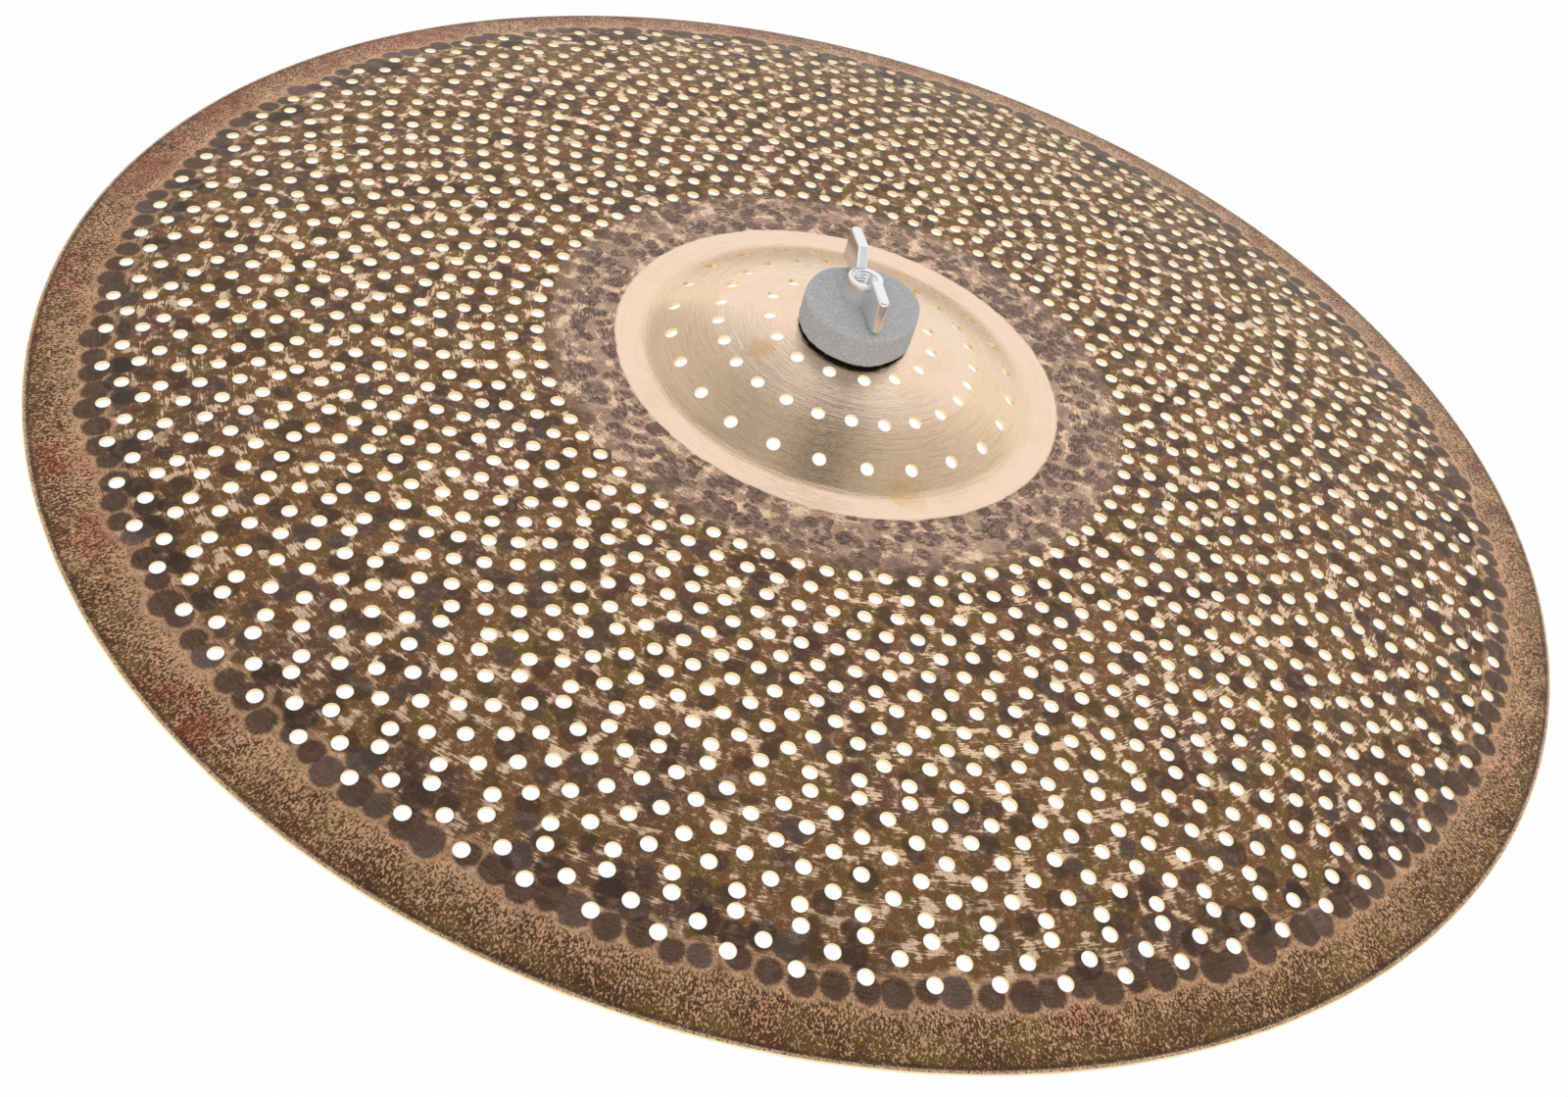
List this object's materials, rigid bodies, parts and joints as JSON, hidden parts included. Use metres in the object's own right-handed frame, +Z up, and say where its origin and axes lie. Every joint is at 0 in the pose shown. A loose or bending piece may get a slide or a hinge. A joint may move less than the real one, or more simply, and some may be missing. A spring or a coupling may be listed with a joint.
{
  "type": "ride cymbal with mounting stack",
  "caption": "Perforated hammered ride cymbal with grey felts, sleeve, cup washer and wing nut, ready to sit on a stand's rod.",
  "frame": {"origin": "on the cymbal's axis, at the crown of the bell's top surface", "axes": "+Z up along the axis out of the bell, +X to the right and -Y towards the player"},
  "size_m": [0.508, 0.508, 0.0561],
  "materials": {
    "bronze": "dark hammered patina on the bow, bare lathed bell, raw cut edges",
    "felt": "pressed grey wool felt",
    "nylon": "moulded black nylon",
    "plated_steel": "bright plating",
    "plated_casting": "bright plated casting"
  },
  "bodies": {
    "stand_seat": {"sleeve": "nylon", "cup_washer": "plated_steel"},
    "lower_seat": {"lower_felt": "felt"},
    "plate": {"cymbal": "bronze"},
    "clamp_felt": {"upper_felt": "felt"},
    "nut": {"wing_nut": "plated_casting"}
  },
  "joints": [
    {"name": "cymbal_rock", "type": "hinge", "parent": "stand_seat", "child": "lower_seat", "pos_m": [0, 0, 0], "axis": [1, 0, 0], "range_deg": [-10, 10], "stiffness_Nm_per_rad": 2.2, "deforming": ["lower_felt", "upper_felt"]},
    {"name": "cymbal_spin", "type": "hinge", "parent": "lower_seat", "child": "plate", "pos_m": [0, 0, 0], "axis": [0, 0, 1], "continuous": true},
    {"name": "nut_lift", "type": "slide", "parent": "stand_seat", "child": "clamp_felt", "axis": [0, 0, 1], "range_m": [0, 0.0025], "deforming": ["upper_felt"]},
    {"name": "nut_turn", "type": "hinge", "parent": "clamp_felt", "child": "nut", "pos_m": [0, 0, 0.0094], "axis": [0, 0, 1], "range_deg": [0, 720]}
  ],
  "couplings": [
    {"joint": "nut_lift", "follows": "nut_turn", "m_per_rad": 0.0001989}
  ]
}
